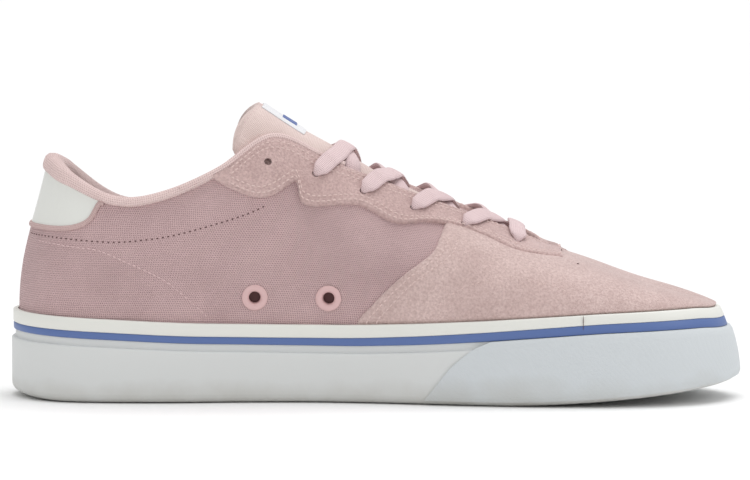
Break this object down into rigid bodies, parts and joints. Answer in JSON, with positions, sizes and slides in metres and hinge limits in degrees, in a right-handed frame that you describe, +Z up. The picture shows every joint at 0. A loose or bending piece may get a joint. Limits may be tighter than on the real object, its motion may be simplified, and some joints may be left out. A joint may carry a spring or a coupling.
{
  "type": "sneaker",
  "caption": "Low laced sneaker for a left foot: hollow canvas and suede upper with a padded collar and tongue on a flat white rubber sole with a coloured stripe.",
  "frame": {"origin": "on the floor, under the middle of the heel, at the flat spot heel_rest", "axes": "+X along the foot to the toe, +Y to the outer (lateral) side of the left foot, +Z up"},
  "size_m": [0.2901, 0.1038, 0.117],
  "materials": {
    "sole_rubber": "satin white rubber",
    "guard_rubber": "finely textured white rubber",
    "stripe_rubber": "satin blue rubber",
    "band_rubber": "satin white rubber",
    "insole_fabric": "matte pink cloth over foam",
    "canvas": "matte pink canvas",
    "suede": "pale pink suede",
    "eyestay_suede": "pink suede",
    "collar_knit": "soft pink knit",
    "tab_leather": "smooth glossy white",
    "vent_paint": "pink enamel",
    "tongue_knit": "soft pink knit",
    "label_cloth": "white woven cloth",
    "lace_cotton": "matte pink cotton"
  },
  "bodies": {
    "root": {"outsole": "sole_rubber", "toe_guard": "guard_rubber", "foxing_stripe": "stripe_rubber", "foxing_band": "band_rubber", "insole": "insole_fabric", "upper": "canvas", "vamp": "suede", "eyestay": "eyestay_suede", "collar": "collar_knit", "heel_tab": "tab_leather", "vent_eyelet_1": "vent_paint", "vent_eyelet_2": "vent_paint", "tongue": "tongue_knit", "tongue_label": "label_cloth", "lace_cross_1": "lace_cotton", "lace_cross_2": "lace_cotton", "lace_cross_3": "lace_cotton", "lace_cross_4": "lace_cotton", "lace_bar": "lace_cotton"}
  },
  "joints": []
}
